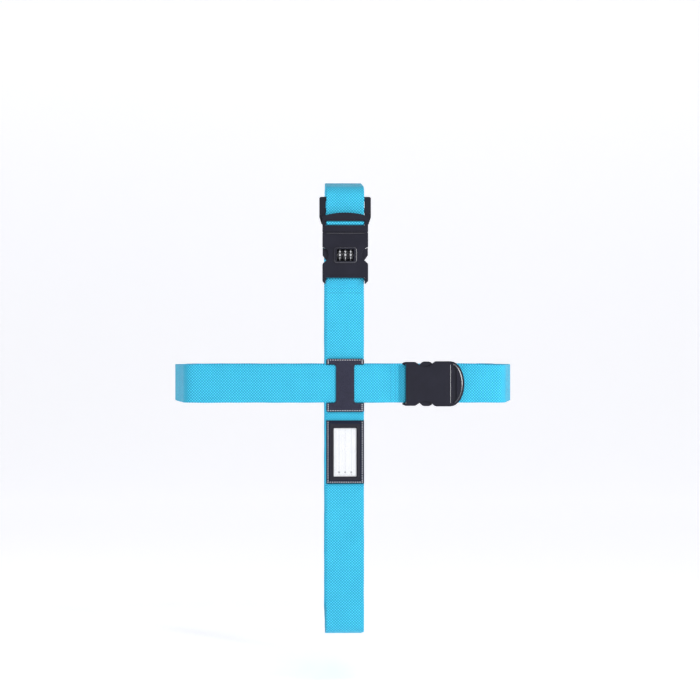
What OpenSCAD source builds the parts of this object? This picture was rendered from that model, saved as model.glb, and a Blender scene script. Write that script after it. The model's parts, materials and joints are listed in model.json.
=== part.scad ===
// Cross luggage strap, as it is worn on a case: an upright and a level loop of webbing, a combination
// buckle on the upright one, a plain side release buckle on the level one, a leather keeper where they
// cross, and a leather address tag. Millimetres, +Z up, the case's front faces -Y, and the origin is the
// centre of the space that the case fills.

/* [Case] */
// Width of the case at its rim, which the level loop goes round
case_w = 462; // [380:1:560]
// Height of the case at its rim, which the upright loop goes round
case_h = 621; // [500:1:760]
// Depth of the case from its front face to its back face
case_d = 264; // [210:1:330]
// Radius of the case's front and back edges
edge_r = 12; // [10:1:24]
// Radius of the case's rim
rim_r = 80; // [60:5:100]
// Lean of the case's sides out towards the rim, in degrees
side_lean = 9; // [4:0.5:10]

/* [Webbing] */
// Width of the webbing
web_w = 50; // [40:1:60]
// Thickness of the webbing
web_t = 1.5; // [1.2:0.1:1.9]
// Free space between two layers of webbing
layer_gap = 0.2; // [0.15:0.05:0.3]
// Free space between the two loops where they cross
cross_gap = 0.3; // [0.25:0.05:0.5]
// Height of the level loop above the case's centre
level_z = 36; // [0:1:60]
// How far a sewn end is turned back from its buckle
turn_back = 21.3; // [18:0.1:30]
// Width of a stitch, and how far it stands up
thread = 0.5; // [0.3:0.1:0.6]

/* [Both buckles] */
// Rail at each side of the webbing
rail = 4.4; // [4:0.1:5]
// Play between the webbing's edge and a buckle, at each side
edge_play = 0.6; // [0.5:0.1:0.8]
// Radius of the bars that carry the webbing
bar_r = 1.8; // [1.5:0.1:2]
// Space between a bar and the webbing round it
bar_play = 0.3; // [0.25:0.05:0.4]
// Thickness of the walls in front of and behind a socket
wall = 2.2; // [1.8:0.1:2.4]
// Thickness of a socket's side walls
side_wall = 3.5; // [3:0.1:4]
// Play between a plug and its socket
plug_play = 0.3; // [0.25:0.05:0.4]
// How far a plug reaches into its socket
plug_l = 9; // [8:0.5:10]
// How much lower a plug half's frame is than its socket half
frame_drop = 0.8; // [0.4:0.1:1]
// Radius of the root that a latch arm bends about
root_r = 2.6; // [2.4:0.1:2.8]
// Thickness of a latch arm's beam
beam_t = 5; // [4:0.1:5.5]

/* [Release buckle] */
// Distance of its sewn edge from the upright loop's middle
release_x = 79.9; // [72:0.1:90]
// Length of the socket half without its legs
release_l = 60; // [58:0.5:66]
// Thickness
release_t = 13.5; // [12.5:0.1:16]
// Length of the legs beside the sewn bar
release_leg = 4.6; // [4:0.1:6]
// Length of the crescent end beyond the socket
release_end = 16.8; // [15.5:0.1:20]
// Middle of the side opening, from the sewn edge
release_pad_x = 25.5; // [25:0.1:27]

/* [Combination buckle] */
// Distance of its sewn edge below the case's top
combo_drop = 135; // [134:0.1:160]
// Length of the socket half without its legs
combo_l = 59.5; // [58:0.5:66]
// Thickness
combo_t = 14.5; // [14:0.1:16]
// Length of the legs beside the sewn bar
combo_leg = 7.6; // [6:0.1:9]
// Length of the ladder end beyond the socket
combo_end = 26; // [25.5:0.1:30]
// Height of the arch at its end
combo_arch = 4.6; // [3:0.1:6]
// Middle of the side opening, from the sewn edge
combo_pad_x = 30.2; // [30:0.1:31]

/* [Dials] */
// Radius of a dial
dial_r = 7.2; // [6.8:0.1:7.3]
// Width of a dial
dial_w = 6.2; // [5.2:0.1:6.4]
// Space between one dial and the next
dial_gap = 0.9; // [0.8:0.1:1.1]
// Distance of the dials' axis from the sewn edge
dial_x = 29.6; // [29:0.1:30]
// Radius of the spindle
spindle_r = 1.6; // [1.4:0.1:1.8]
// Running clearance on the spindle
spindle_play = 0.05; // [0.03:0.01:0.08]

/* [Leather] */
// Height of the crossing keeper's upper band
keeper_top_h = 7.5; // [6:0.1:9]
// Height of the crossing keeper's lower band
keeper_low_h = 11.5; // [9:0.1:13]
// Width of the crossing keeper's middle
keeper_mid_w = 24; // [18:0.5:30]
// Thickness of the crossing keeper's leather
keeper_t = 1.8; // [1.4:0.1:2.2]
// Space from the crossing keeper down to the tag
tag_gap = 11.3; // [9:0.1:14]
// Height of the tag
tag_h = 83.4; // [75:0.1:95]
// Width of the tag's window
window_w = 30; // [26:0.5:34]
// Height of the tag's window
window_h = 63.8; // [55:0.1:70]
// Thickness of the tag's leather
tag_t = 1.2; // [1:0.1:1.6]

/* [Hidden] */
$fn = 48;

plastic = [0.14, 0.14, 0.17];
leather = [0.12, 0.12, 0.14];
blue = [0.22, 0.72, 0.93];

// the case, and the layers of webbing on it, as heights of their middles off its face
face = case_d / 2;
layer = web_t + layer_gap;
first_layer = web_t / 2;
second_layer = first_layer + layer;
level_rise = web_t + cross_gap;
level_run = level_rise + web_t / 2;
level_tail = level_run - layer;
level_face = face + level_rise;

// height of the combination buckle's sewn edge above the case's centre
combo_z = case_h / 2 - combo_drop;

// buckle sizes across the strap, from its middle out
buckle_half = web_w / 2 + edge_play + rail;
rail_in = web_w / 2 + edge_play;
socket_half = buckle_half - side_wall;
arm_y = buckle_half - 11;
pad_in = buckle_half - 9.5;
socket_from = 8;

// the webbing round a bar: radius of its middle, and of its outside
wrap_mid = bar_r + bar_play + web_t / 2;
wrap_out = bar_r + bar_play + web_t;
wrap_room = wrap_out + 0.3;
turn_r = 1.6;
sewn_bar_x = -2;
sewn_bar_off = wrap_out + 1.4;
ramp_x = 9;
chamber_to = 3.3;
chamber_top = sewn_bar_off + wrap_room;

// the ladder bars: how far past the socket, and how high off the case
release_bar_x = release_l + 4.3;
release_bar_off = level_run + wrap_mid + 0.5;
release_slot = 2.3;
combo_bar_x = combo_l + 12.3;
keeper_plate = 1.8;
combo_load = first_layer + web_t + keeper_plate + layer_gap + 0.35;
combo_bar_off = combo_load + wrap_mid + 1.55;
combo_slot = 3;
pass_gap = 0.45;

// combination works
dial_pitch = dial_w + dial_gap;
shell_split = combo_t / 2;
dial_off = combo_t - 4.5;
shaft_room = combo_t - wall - dial_off - 0.1;
bezel_h = 1.2;
window_half_x = dial_r + 0.35;
window_half_y = 1.5 * dial_pitch + 0.35;
cam_r = 4.2;
cam_w = dial_pitch - 0.3;
stack_end = dial_pitch + cam_w / 2;
post_y = stack_end + 2.7;
post_t = 1.8;
post_w = 4;
blocker_x = dial_x + dial_r + 0.8;
blocker_w = 4;
blocker_y = stack_end + 0.3;
blocker_off = 6;
blocker_h = 4;
reset_x = 14;
reset_r = 1.6;
screw_r = 0.9;
screw_head_r = 1.7;
screw_head_h = 1.1;
screw_l = 11;
screws = [
    [5.6, 18], [5.6, -18],
    [combo_l - 7.5, buckle_half - 1.8], [combo_l - 7.5, 1.8 - buckle_half]
];

// the slide that holds the upright tail against the load strap
glide_half = buckle_half + 4;
glide_top = case_h / 2 - 28;
glide_bottom = combo_z + combo_bar_x - 1.3;

// leather pieces, as heights off the case and up the case
keeper_from = web_t;
keeper_over = level_run + web_t / 2 + cross_gap;
keeper_open_low = level_z - web_w / 2 - 0.6;
keeper_open_top = level_z + web_w / 2 + 0.6;
keeper_low = keeper_open_low - keeper_low_h;
tag_top = keeper_low - tag_gap;
tag_low = tag_top - tag_h;
tag_pocket = 1.1;
pocket_half = web_w / 2 - 5.5;
window_top = tag_top - 10;
pocket_floor = tag_low + 4;
card_w = 2 * pocket_half - 2;
card_t = 0.4;
film_t = 0.25;
stitch_pitch = 3.4;
stitch_l = 2.2;

// ---- paths ----

function turned(p) = [for (i = [len(p) - 1:-1:0]) p[i]];
function across(p) = concat(p, [for (q = turned(p)) [q[0], -q[1]]]);
function bow(c, r, a0, a1, n = 8) =
    [for (i = [0:n]) c + r * [cos(a0 + (a1 - a0) * i / n), sin(a0 + (a1 - a0) * i / n)]];

// Half the length of the case's flat face, for a loop at the given half size and depth
function flat_half(half, deep) =
    half - rim_r + (rim_r - edge_r - (deep - edge_r) * sin(side_lean)) / cos(side_lean);

// A path round one edge of the case, off its surface, from the leaning side to the flat face
function round_edge(half, deep, off, side, front, n = 8) = [
    for (i = [0:n])
        let (a = side_lean + (90 - side_lean) * i / n)
        [side * (flat_half(half, deep) + (edge_r + off) * cos(a)),
         front * (deep - edge_r + (edge_r + off) * sin(a))]
];

// A path over the case's rim, from its front to its back
function over_rim(half, off, side, n = 3) = [
    for (i = [0:n])
        let (a = side_lean * (2 * i / n - 1))
        [side * (half - rim_r + (rim_r + off) * cos(a)), (rim_r + off) * sin(a)]
];

// The angle at which a line from a point touches a circle
function touch(from, c, r, side) =
    let (v = from - c)
    atan2(v[1], v[0]) + side * acos(r / norm(v));

// A sewn end, along the strap and off the case: turned-back layer, round the bar, and out over it
function sewn_end(run) =
    let (bar = [sewn_bar_x, sewn_bar_off])
    let (low = touch([-ramp_x, run - layer], bar, wrap_mid, 1))
    let (high = touch([-ramp_x, run], bar, wrap_mid, -1) + 360)
    concat(
        [[-turn_back, run - layer], [-ramp_x, run - layer]],
        bow(bar, wrap_mid, low, high, 12),
        [[-ramp_x, run]]
    );

// A ladder lock: in along the load layer, up and over the bar, and back out as the tail
function ladder(bar_x, bar_off, load, tail) = concat(
    bow([bar_x + wrap_mid + turn_r, load + turn_r], turn_r, -90, -180, 5),
    bow([bar_x, bar_off], wrap_mid, 0, 180, 12),
    bow([bar_x - wrap_mid + turn_r, tail + turn_r], turn_r, 180, 270, 5)
);

function placed(p, along) = [for (q = p) [along + q[0], -face - q[1]]];
function unit(v) = v / norm(v);
function left_of(v) = [-v[1], v[0]];
function side_at(p, i) =
    let (a = left_of(unit(p[max(i, 1)] - p[max(i, 1) - 1])))
    let (b = left_of(unit(p[min(i + 1, len(p) - 1)] - p[min(i + 1, len(p) - 1) - 1])))
    let (m = unit(a + b))
    m / (m * a);

// The outline of a ribbon of the webbing's thickness, along a path
function ribbon(p) = concat(
    [for (i = [0:len(p) - 1]) p[i] + side_at(p, i) * web_t / 2],
    [for (i = [len(p) - 1:-1:0]) p[i] - side_at(p, i) * web_t / 2]
);

level_half = case_w / 2;
upright_half = case_h / 2;
level_flat = flat_half(level_half, level_face);
upright_flat = flat_half(upright_half, face);
tail_lap = 12;
joint_in = 3;

level_path = concat(
    placed(sewn_end(level_run), release_x),
    turned(round_edge(level_half, level_face, first_layer, -1, -1)),
    over_rim(level_half, first_layer, -1),
    round_edge(level_half, level_face, first_layer, -1, 1),
    [[level_flat - joint_in, level_face + first_layer]]
);
level_right_path = concat(
    [[level_flat - joint_in, level_face + first_layer]],
    turned(round_edge(level_half, level_face, first_layer, 1, 1)),
    turned(over_rim(level_half, first_layer, 1)),
    round_edge(level_half, level_face, first_layer, 1, -1),
    placed(ladder(release_bar_x, release_bar_off, level_run, level_tail), release_x),
    [[level_flat - 4, -face - level_tail]]
);
upright_path = concat(
    placed(sewn_end(second_layer), combo_z),
    placed([[-turn_back - 3, second_layer], [-turn_back - 12, first_layer]], combo_z),
    turned(round_edge(upright_half, face, first_layer, -1, -1)),
    over_rim(upright_half, first_layer, -1),
    round_edge(upright_half, face, first_layer, -1, 1),
    [[upright_flat - joint_in, face + first_layer]]
);
upright_top_path = concat(
    [[upright_flat - joint_in, face + first_layer]],
    turned(round_edge(upright_half, face, first_layer, 1, 1)),
    turned(over_rim(upright_half, first_layer, 1)),
    round_edge(upright_half, face, combo_load, 1, -1),
    placed(ladder(combo_bar_x, combo_bar_off, combo_load, first_layer), combo_z),
    turned(round_edge(upright_half, face, first_layer, 1, -1)),
    [tail_end()]
);

// The tail stops on the case's top, a little behind its front edge
function tail_end() =
    let (top = round_edge(upright_half, face, first_layer, 1, -1)[0])
    let (rim = over_rim(upright_half, first_layer, 1)[0])
    top + tail_lap * unit(rim - top);

module level_ribbon(path) {
    translate([0, 0, level_z - web_w / 2])
        linear_extrude(web_w)
            polygon(ribbon(path));
}

module upright_ribbon(path) {
    rotate([0, -90, 0])
        linear_extrude(web_w, center = true)
            polygon(ribbon(path));
}

// Buckles are drawn with the strap along X, its width along Y and the case's face at Z = 0
module on_level() {
    translate([release_x, -face, level_z])
        rotate([90, 0, 0])
            children();
}

module on_upright() {
    translate([0, -face, combo_z])
        rotate([90, 0, 0])
            rotate([0, 0, 90])
                children();
}

module block(x0, x1, y0, y1, z0, z1) {
    translate([x0, y0, z0])
        cube([x1 - x0, y1 - y0, z1 - z0]);
}

// A block that is even about the strap's middle
module band(x0, x1, half, z0, z1) {
    block(x0, x1, -half, half, z0, z1);
}

module cross_bar(x, off, r, half) {
    translate([x, 0, off])
        rotate([90, 0, 0])
            cylinder(r = r, h = 2 * half, center = true);
}

// ---- both buckles ----

// A socket half: its outline, less the room for the plug, the sewn webbing and the side openings
module socket_body(outline, len, t, pad_x, notch_r, notch_y) {
    difference() {
        linear_extrude(t)
            difference() {
                polygon(across(outline));
                for (s = [-1, 1])
                    translate([pad_x, s * notch_y])
                        circle(r = notch_r);
            }
        band(socket_from, len + 1, socket_half, wall, t - wall);
        band(-20, chamber_to, rail_in + 0.2, -1, chamber_top);
        band(-20, 0, rail_in + 0.2, -1, t + 1);
    }
}

// A plug half: plug, tongue and ladder frame, whose outline is the child, with the bar that the webbing
// goes over. The slot over the bar is cut down to slot_floor
module plug_body(len, t, bar_x, bar_off, slot, slot_floor, end, load, rails_from) {
    apex = len + end;
    difference() {
        union() {
            translate([0, 0, rails_from[0]])
                linear_extrude(t - frame_drop - rails_from[0])
                    children();
            band(len - plug_l, len + 1, socket_half - plug_play, wall + plug_play, t - wall - plug_play);
            band(len - plug_l - 6, len, 9, wall + 2.2, t - wall - 2.2);
        }
        band(bar_x - wrap_room, bar_x + wrap_room, rail_in, -1, bar_off + wrap_room);
        band(bar_x - slot, bar_x + slot, rail_in, slot_floor, t + 1);
        band(bar_x, apex + 1, rail_in, -1, load + web_t / 2 + pass_gap);
        band(bar_x - wrap_room, apex + 1, buckle_half + 1, -1, rails_from[1]);
        for (s = [-1, 1]) {
            translate([len - plug_l / 2, s * arm_y, -1])
                cylinder(r = root_r + 0.05, h = t + 2);
            block(len - plug_l - 1, len - plug_l / 2, s * arm_y - beam_t / 2 - 0.8,
                s * arm_y + beam_t / 2 + 0.8, -1, t + 2);
        }
    }
    cross_bar(bar_x, bar_off, bar_r, rail_in + 1);
}

// A latch arm: root, beam and press pad. The pad's outline runs from its tip to its catch
module latch_arm(reach, t, pad, side) {
    root_x = reach - plug_l / 2;
    neck_x = pad[len(pad) - 1][0];
    beam = [[root_x, arm_y - beam_t / 2], [neck_x - 3, arm_y - beam_t / 2], [neck_x - 3, pad_in]];
    high = t - 2 * wall - 2.8;
    translate([0, 0, wall + 1.4])
        mirror([0, side < 0 ? 1 : 0, 0]) {
            translate([root_x, arm_y, 0])
                cylinder(r = root_r, h = high);
            linear_extrude(high)
                polygon(concat(beam, pad, [[neck_x, arm_y + beam_t / 2], [root_x, arm_y + beam_t / 2]]));
        }
}

// ---- release buckle ----

release_outline = [
    [-release_leg, rail_in + 1.6], [-1.2, buckle_half - 1.1], [12.2, buckle_half - 1.1],
    [16, buckle_half - 3.8], [35, buckle_half - 3.2], [38.8, buckle_half - 0.3],
    [release_l, buckle_half - 0.3]
];
release_pad = [
    [17.2, pad_in], [17.2, buckle_half - 5.5], [21.5, buckle_half - 1.4], [24, buckle_half - 0.6],
    [30.5, buckle_half - 0.6], [34.2, buckle_half - 2.4]
];

module release_female() {
    color(plastic)
        on_level() {
            socket_body(release_outline, release_l, release_t, release_pad_x, 12, buckle_half + 4);
            cross_bar(sewn_bar_x, sewn_bar_off, bar_r, rail_in + 1.2);
        }
}

// The crescent end: part of an ellipse that begins a little inside the socket
crescent_from = release_l - 1.6;
crescent_a = release_end + 1.6;
crescent_b = buckle_half - 0.3;
crescent_turn = acos((release_l + plug_play - crescent_from) / crescent_a);
crescent = [
    for (i = [-16:16])
        let (a = crescent_turn * i / 16)
        [crescent_from + crescent_a * cos(a), crescent_b * sin(a)]
];

module release_male() {
    color(plastic)
        on_level()
            plug_body(release_l, release_t, release_bar_x, release_bar_off, release_slot, release_t - 2.9,
                release_end, level_run, [0.3, 0.3])
                polygon(crescent);
}

module release_arm_upper() {
    color(plastic)
        on_level()
            latch_arm(release_l, release_t, release_pad, 1);
}

module release_arm_lower() {
    color(plastic)
        on_level()
            latch_arm(release_l, release_t, release_pad, -1);
}

// ---- combination buckle ----

combo_outline = [
    [-combo_leg, rail_in + 1.4], [-combo_leg + 3, buckle_half], [18.2, buckle_half],
    [22.8, buckle_half - 4.7], [combo_pad_x, buckle_half], [combo_l, buckle_half]
];
combo_pad = [
    [23.4, pad_in], [23.4, buckle_half - 4.3], [29.5, buckle_half - 0.2], [39, buckle_half - 0.2],
    [39.4, buckle_half - 0.8], [38, buckle_half - 3.8]
];

module combination_body() {
    difference() {
        socket_body(combo_outline, combo_l, combo_t, combo_pad_x, 10.5, buckle_half + 2.5);
        band(dial_x - window_half_x, dial_x + window_half_x, window_half_y, wall + 1, combo_t + 1);
        for (p = screws)
            translate([p[0], p[1], -1])
                cylinder(r = screw_r + 0.1, h = screw_l + 1.2);
        for (p = screws)
            translate([p[0], p[1], -1])
                cylinder(r = screw_head_r + 0.1, h = screw_head_h + 1.1);
    }
}

module spindle_bore() {
    cross_bar(dial_x, dial_off, spindle_r + spindle_play, buckle_half / 2 + 2);
}

module posts(z0, z1) {
    for (s = [-1, 1])
        block(dial_x - post_w / 2, dial_x + post_w / 2, s * (post_y + post_t / 2) - post_t / 2,
            s * (post_y + post_t / 2) + post_t / 2, z0, z1);
}

module combination_back_shell() {
    color(plastic)
        on_upright()
            difference() {
                union() {
                    intersection() {
                        combination_body();
                        band(-20, combo_l + 1, buckle_half + 1, -1, shell_split);
                    }
                    posts(wall - 0.5, dial_off);
                    for (s = [-1, 1])
                        block(blocker_x, blocker_x + blocker_w, s > 0 ? 8.5 : -13, s > 0 ? 13 : -8.5,
                            wall - 0.5, blocker_off - 0.2);
                    cross_bar(sewn_bar_x, sewn_bar_off, bar_r, rail_in + 1.2);
                }
                spindle_bore();
                translate([reset_x, 0, -1])
                    cylinder(r = reset_r + 0.1, h = wall + 2);
            }
}

bezel = [
    [dial_x - 9.85, window_half_y + 1.6], [dial_x - 7.4, window_half_y + 4],
    [dial_x + 7.4, window_half_y + 4], [dial_x + 9.85, window_half_y + 1.6]
];

module combination_front_shell() {
    color(plastic)
        on_upright()
            difference() {
                union() {
                    intersection() {
                        combination_body();
                        band(-20, combo_l + 1, buckle_half + 1, shell_split, combo_t);
                    }
                    posts(dial_off, combo_t - wall + 0.5);
                    translate([0, 0, combo_t - 0.4])
                        linear_extrude(bezel_h + 0.4)
                            polygon(across(bezel));
                }
                spindle_bore();
                band(dial_x - window_half_x, dial_x + window_half_x, window_half_y, wall + 1, combo_t + 3);
            }
}

module combination_screws() {
    color("dimgray")
        on_upright()
            for (p = screws)
                translate([p[0], p[1], 0.1]) {
                    cylinder(r = screw_r, h = screw_l - 0.3);
                    difference() {
                        cylinder(r = screw_head_r, h = screw_head_h - 0.1);
                        cube([0.5, 2 * screw_head_r - 1, 1.2], center = true);
                    }
                }
}

// Something on the spindle, centred at a place across the strap
module on_spindle(y) {
    on_upright()
        translate([dial_x, y, dial_off])
            rotate([90, 0, 0])
                children();
}

module dial(y) {
    color([0.1, 0.1, 0.12])
        on_spindle(y)
            difference() {
                cylinder(r = dial_r, h = dial_w, center = true);
                cylinder(r = cam_r + 0.1, h = dial_w + 1, center = true);
                translate([cam_r + 0.2, 0, 0])
                    cube([1.8, 1.4, dial_w + 1], center = true);
                for (i = [0:9])
                    rotate([0, 0, 36 * i + 18])
                        translate([dial_r + 0.25, 0, 0])
                            cylinder(r = 0.7, h = dial_w + 1, center = true, $fn = 24);
            }
}

module cam(y) {
    color("gold")
        on_spindle(y)
            difference() {
                union() {
                    cylinder(r = cam_r, h = cam_w, center = true);
                    translate([cam_r, 0, 0])
                        cube([1.6, 1, dial_w], center = true);
                }
                cylinder(r = spindle_r + spindle_play, h = cam_w + 1, center = true);
                translate([-cam_r, 0, -cam_w / 2])
                    cube([2, 2.4, 2], center = true);
            }
}

module dial_left() dial(dial_pitch);
module dial_middle() dial(0);
module dial_right() dial(-dial_pitch);
module cam_left() cam(dial_pitch);
module cam_middle() cam(0);
module cam_right() cam(-dial_pitch);

module spindle() {
    color("silver")
        on_spindle(0)
            cylinder(r = spindle_r, h = 2 * (post_y + post_t) - 0.4, center = true);
}

module spindle_collar() {
    color("silver")
        on_spindle((post_y + stack_end) / 2)
            difference() {
                cylinder(r = shaft_room, h = post_y - stack_end - 0.2, center = true);
                cylinder(r = spindle_r + spindle_play, h = 6, center = true);
            }
}

coil_wire = 0.2;
coil_r = (spindle_r + shaft_room) / 2;
coil_turns = 3;
coil_l = post_y - stack_end - 2 * coil_wire - 0.2;
function coil_ring(a) = [
    for (k = [0:5])
        let (r = coil_r + coil_wire * cos(60 * k))
        [r * cos(a), r * sin(a), coil_l * (a / 360 / coil_turns - 0.5) + coil_wire * sin(60 * k)]
];

module cam_spring() {
    steps = 12 * coil_turns;
    color("silver")
        on_spindle(-(post_y + stack_end) / 2)
            polyhedron(
                points = [for (i = [0:steps]) each coil_ring(30 * i)],
                faces = concat(
                    [[0, 1, 2, 3, 4, 5]],
                    [for (i = [0:steps - 1], k = [0:5])
                        [6 * i + k, 6 * i + 6 + k, 6 * i + 6 + (k + 1) % 6, 6 * i + (k + 1) % 6]],
                    [[for (k = [5:-1:0]) 6 * steps + k]]
                )
            );
}

module detent_spring() {
    color("silver")
        on_upright() {
            band(dial_x + 3, dial_x + 7, dial_pitch + 2.5, wall, wall + 0.3);
            for (i = [-1:1])
                block(dial_x - 5, dial_x + 3, i * dial_pitch - 2.2, i * dial_pitch + 2.2, wall, wall + 0.3);
        }
}

// A slider that an arm pushes towards the cams
module blocker(side) {
    inner = blocker_y;
    outer = arm_y - beam_t / 2 - 0.3;
    color("gray")
        on_upright()
            block(blocker_x, blocker_x + blocker_w, side > 0 ? inner : -outer, side > 0 ? outer : -inner,
                blocker_off, blocker_off + blocker_h);
}

module blocker_left() blocker(1);
module blocker_right() blocker(-1);

module reset_button() {
    color("gray")
        on_upright()
            translate([reset_x, 0, 0]) {
                translate([0, 0, 0.3])
                    cylinder(r = reset_r, h = wall + 0.6);
                translate([0, 0, wall + 0.1])
                    cylinder(r = reset_r + 1, h = 0.8);
            }
}

module combination_male() {
    arch_r = (buckle_half * buckle_half + combo_arch * combo_arch) / (2 * combo_arch);
    color(plastic)
        on_upright()
            plug_body(combo_l, combo_t, combo_bar_x, combo_bar_off, combo_slot, -1, combo_end, combo_load,
                [0.3, keeper_plate + 2.7])
                intersection() {
                    translate([combo_l + plug_play, -buckle_half])
                        square([combo_end, 2 * buckle_half]);
                    translate([combo_l + combo_end - arch_r, 0])
                        circle(r = arch_r, $fn = 96);
                }
}

module combination_arm_left() {
    color(plastic)
        on_upright()
            latch_arm(combo_l, combo_t, combo_pad, 1);
}

module combination_arm_right() {
    color(plastic)
        on_upright()
            latch_arm(combo_l, combo_t, combo_pad, -1);
}

// ---- slide for the upright tail ----

glide_outline = [
    [glide_bottom, buckle_half + 1], [glide_bottom + 9.6, glide_half], [glide_top - 1.5, glide_half],
    [glide_top, glide_half - 1.5]
];

module tail_keeper() {
    bar_from = web_t + layer_gap;
    color(plastic)
        translate([0, -face, 0])
            rotate([90, 0, 0])
                rotate([0, 0, 90])
                    difference() {
                        translate([0, 0, 0.2])
                            linear_extrude(bar_from + keeper_plate - 0.2)
                                polygon(across(glide_outline));
                        band(glide_bottom - 1, glide_top + 1, rail_in, -1, bar_from);
                        band(glide_bottom + 6, glide_bottom + 15, rail_in, -1, 9);
                        band(glide_top - 15, glide_top - 6, rail_in, -1, 9);
                    }
}

// ---- webbing and its seams ----

module level_webbing() color(blue) level_ribbon(level_path);
module level_webbing_right() color(blue) level_ribbon(level_right_path);
module upright_webbing() color(blue) upright_ribbon(upright_path);
module upright_webbing_top() color(blue) upright_ribbon(upright_top_path);

// Rows of stitches across a sewn end, on the webbing's outer face
module seam(run) {
    count = floor((web_w - 6) / stitch_pitch);
    for (x = [-turn_back + 1.5, -turn_back + 8])
        for (i = [0:count])
            block(x, x + thread, (i - count / 2) * stitch_pitch - stitch_l / 2,
                (i - count / 2) * stitch_pitch + stitch_l / 2, run + web_t / 2, run + web_t / 2 + 0.2);
}

module level_seam() color("deepskyblue") on_level() seam(level_run);
module upright_seam() color("deepskyblue") on_upright() seam(second_layer);

// ---- leather ----

// Leather is drawn with X across the upright loop, Y up the case and the case's face at Z = 0
module on_front() {
    translate([0, -face, 0])
        rotate([90, 0, 0])
            children();
}

module plate(w, low, high, z0, z1) {
    block(-w / 2, w / 2, low, high, z0, z1);
}

// A plate with two round corners, at the side that the turn points away from
module round_plate(w, h, r, z0, z1) {
    block(-w / 2, w / 2, r, h, z0, z1);
    block(r - w / 2, w / 2 - r, 0, r + 0.1, z0, z1);
    for (s = [-1, 1])
        translate([s * (w / 2 - r), r, z0])
            cylinder(r = r, h = z1 - z0);
}

module cross_keeper() {
    fillet = 4;
    corner = 3;
    high = keeper_open_top + keeper_top_h;
    color(leather)
        on_front() {
            translate([0, keeper_low, 0])
                round_plate(web_w, keeper_low_h, corner, keeper_from, keeper_over + keeper_t);
            translate([0, high, 0])
                rotate([0, 0, 180])
                    round_plate(web_w, keeper_top_h, corner, keeper_from, keeper_over + keeper_t);
            translate([0, 0, keeper_over])
                linear_extrude(keeper_t)
                    difference() {
                        translate([-keeper_mid_w / 2 - fillet, keeper_open_low - 1])
                            square([keeper_mid_w + 2 * fillet, keeper_open_top - keeper_open_low + 2]);
                        for (s = [-1, 1])
                            hull_slot(s * (keeper_mid_w / 2 + fillet), fillet);
                    }
        }
}

// The open side of the keeper: a slot with round ends beside its middle
module hull_slot(x, r) {
    for (y = [keeper_open_low + r, keeper_open_top - r])
        translate([x, y])
            circle(r = r);
    translate([x - r, keeper_open_low + r])
        square([2 * r, keeper_open_top - keeper_open_low - 2 * r]);
}

// A row of stitches lying on leather at the given height, from one point towards another
module stitches(from, to, off) {
    run = to - from;
    count = floor(norm(run) / stitch_pitch);
    turn = atan2(run[1], run[0]);
    for (i = [0:count])
        translate(concat(from + run * i / count, [off]))
            rotate([0, 0, turn])
                translate([-stitch_l / 2, -thread / 2, 0])
                    cube([stitch_l, thread, 0.2]);
}

module cross_keeper_stitching() {
    off = keeper_over + keeper_t;
    in_x = web_w / 2 - 3;
    in_y = keeper_open_top + keeper_top_h - 1.8;
    color("white")
        on_front() {
            stitches([-in_x, keeper_low + 1.8], [in_x, keeper_low + 1.8], off);
            stitches([-in_x, in_y], [in_x, in_y], off);
        }
}

module tag_back() {
    color(leather)
        on_front()
            plate(web_w, tag_low, tag_top, web_t, web_t + tag_t);
}

module tag_frame() {
    pocket_off = web_t + tag_t;
    color(leather)
        on_front()
            difference() {
                plate(web_w, tag_low, tag_top, pocket_off, pocket_off + tag_pocket + tag_t);
                plate(2 * pocket_half, pocket_floor, tag_top + 1, pocket_off - 1, pocket_off + tag_pocket);
                plate(window_w, window_top - window_h, window_top, 0, 9);
            }
}

module tag_card() {
    off = web_t + tag_t + 0.2;
    color("white")
        on_front()
            plate(card_w, pocket_floor + 0.2, tag_top - 3.3, off, off + card_t);
}

module tag_window() {
    off = web_t + tag_t + tag_pocket - film_t - 0.05;
    color([0.9, 0.95, 1, 0.4])
        on_front()
            plate(2 * pocket_half - 0.4, pocket_floor + 0.2, tag_top - 1, off, off + film_t);
}

module tag_stitching() {
    off = web_t + 2 * tag_t + tag_pocket;
    in_x = web_w / 2 - 2.4;
    color("white")
        on_front() {
            for (s = [-1, 1])
                stitches([s * in_x, tag_low + 5], [s * in_x, tag_top - 2.5], off);
            stitches([-in_x, tag_low + 2.2], [in_x, tag_low + 2.2], off);
        }
}

level_webbing();
level_webbing_right();
level_seam();
release_female();
release_male();
release_arm_upper();
release_arm_lower();
upright_webbing();
upright_webbing_top();
upright_seam();
combination_back_shell();
combination_front_shell();
combination_screws();
dial_left();
dial_middle();
dial_right();
cam_left();
cam_middle();
cam_right();
spindle();
spindle_collar();
cam_spring();
detent_spring();
blocker_left();
blocker_right();
reset_button();
combination_male();
combination_arm_left();
combination_arm_right();
tail_keeper();
cross_keeper();
cross_keeper_stitching();
tag_back();
tag_frame();
tag_window();
tag_card();
tag_stitching();
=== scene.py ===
# %% [markdown]
# # A cross luggage strap
# Two loops of blue webbing cross on a suitcase's front. The upright one closes in a buckle with three
# number dials, the level one in a plain side release buckle. A leather keeper holds the crossing and a
# leather tag hangs below it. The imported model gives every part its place. This script gives each one its
# surface.

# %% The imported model
import json
from math import ceil, cos, radians, sin

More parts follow.
